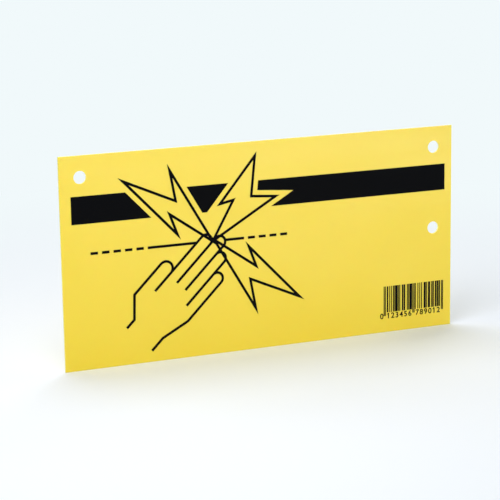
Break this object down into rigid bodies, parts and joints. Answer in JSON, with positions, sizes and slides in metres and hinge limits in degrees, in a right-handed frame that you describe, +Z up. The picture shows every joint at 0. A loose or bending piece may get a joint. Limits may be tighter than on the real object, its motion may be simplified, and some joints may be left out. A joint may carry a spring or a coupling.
{
  "type": "electric fence warning sign plate",
  "caption": "Thin yellow plastic sign plate with punched fixing holes, printed in black with a band and the picture of a hand on a live fence wire.",
  "frame": {"origin": "centre of the flat back face, the face that lies on a fence, a post or a wall", "axes": "+Z up as the sign hangs, +X to the right seen from the printed front, +Y out of the back; the printed front looks along -Y"},
  "size_m": [0.2, 0.001, 0.1],
  "materials": {
    "yellow_plastic": "satin",
    "black_ink": "satin screen ink"
  },
  "bodies": {
    "root": {"plate": "yellow_plastic", "picture_print": "black_ink", "code_print": "black_ink"}
  },
  "joints": []
}
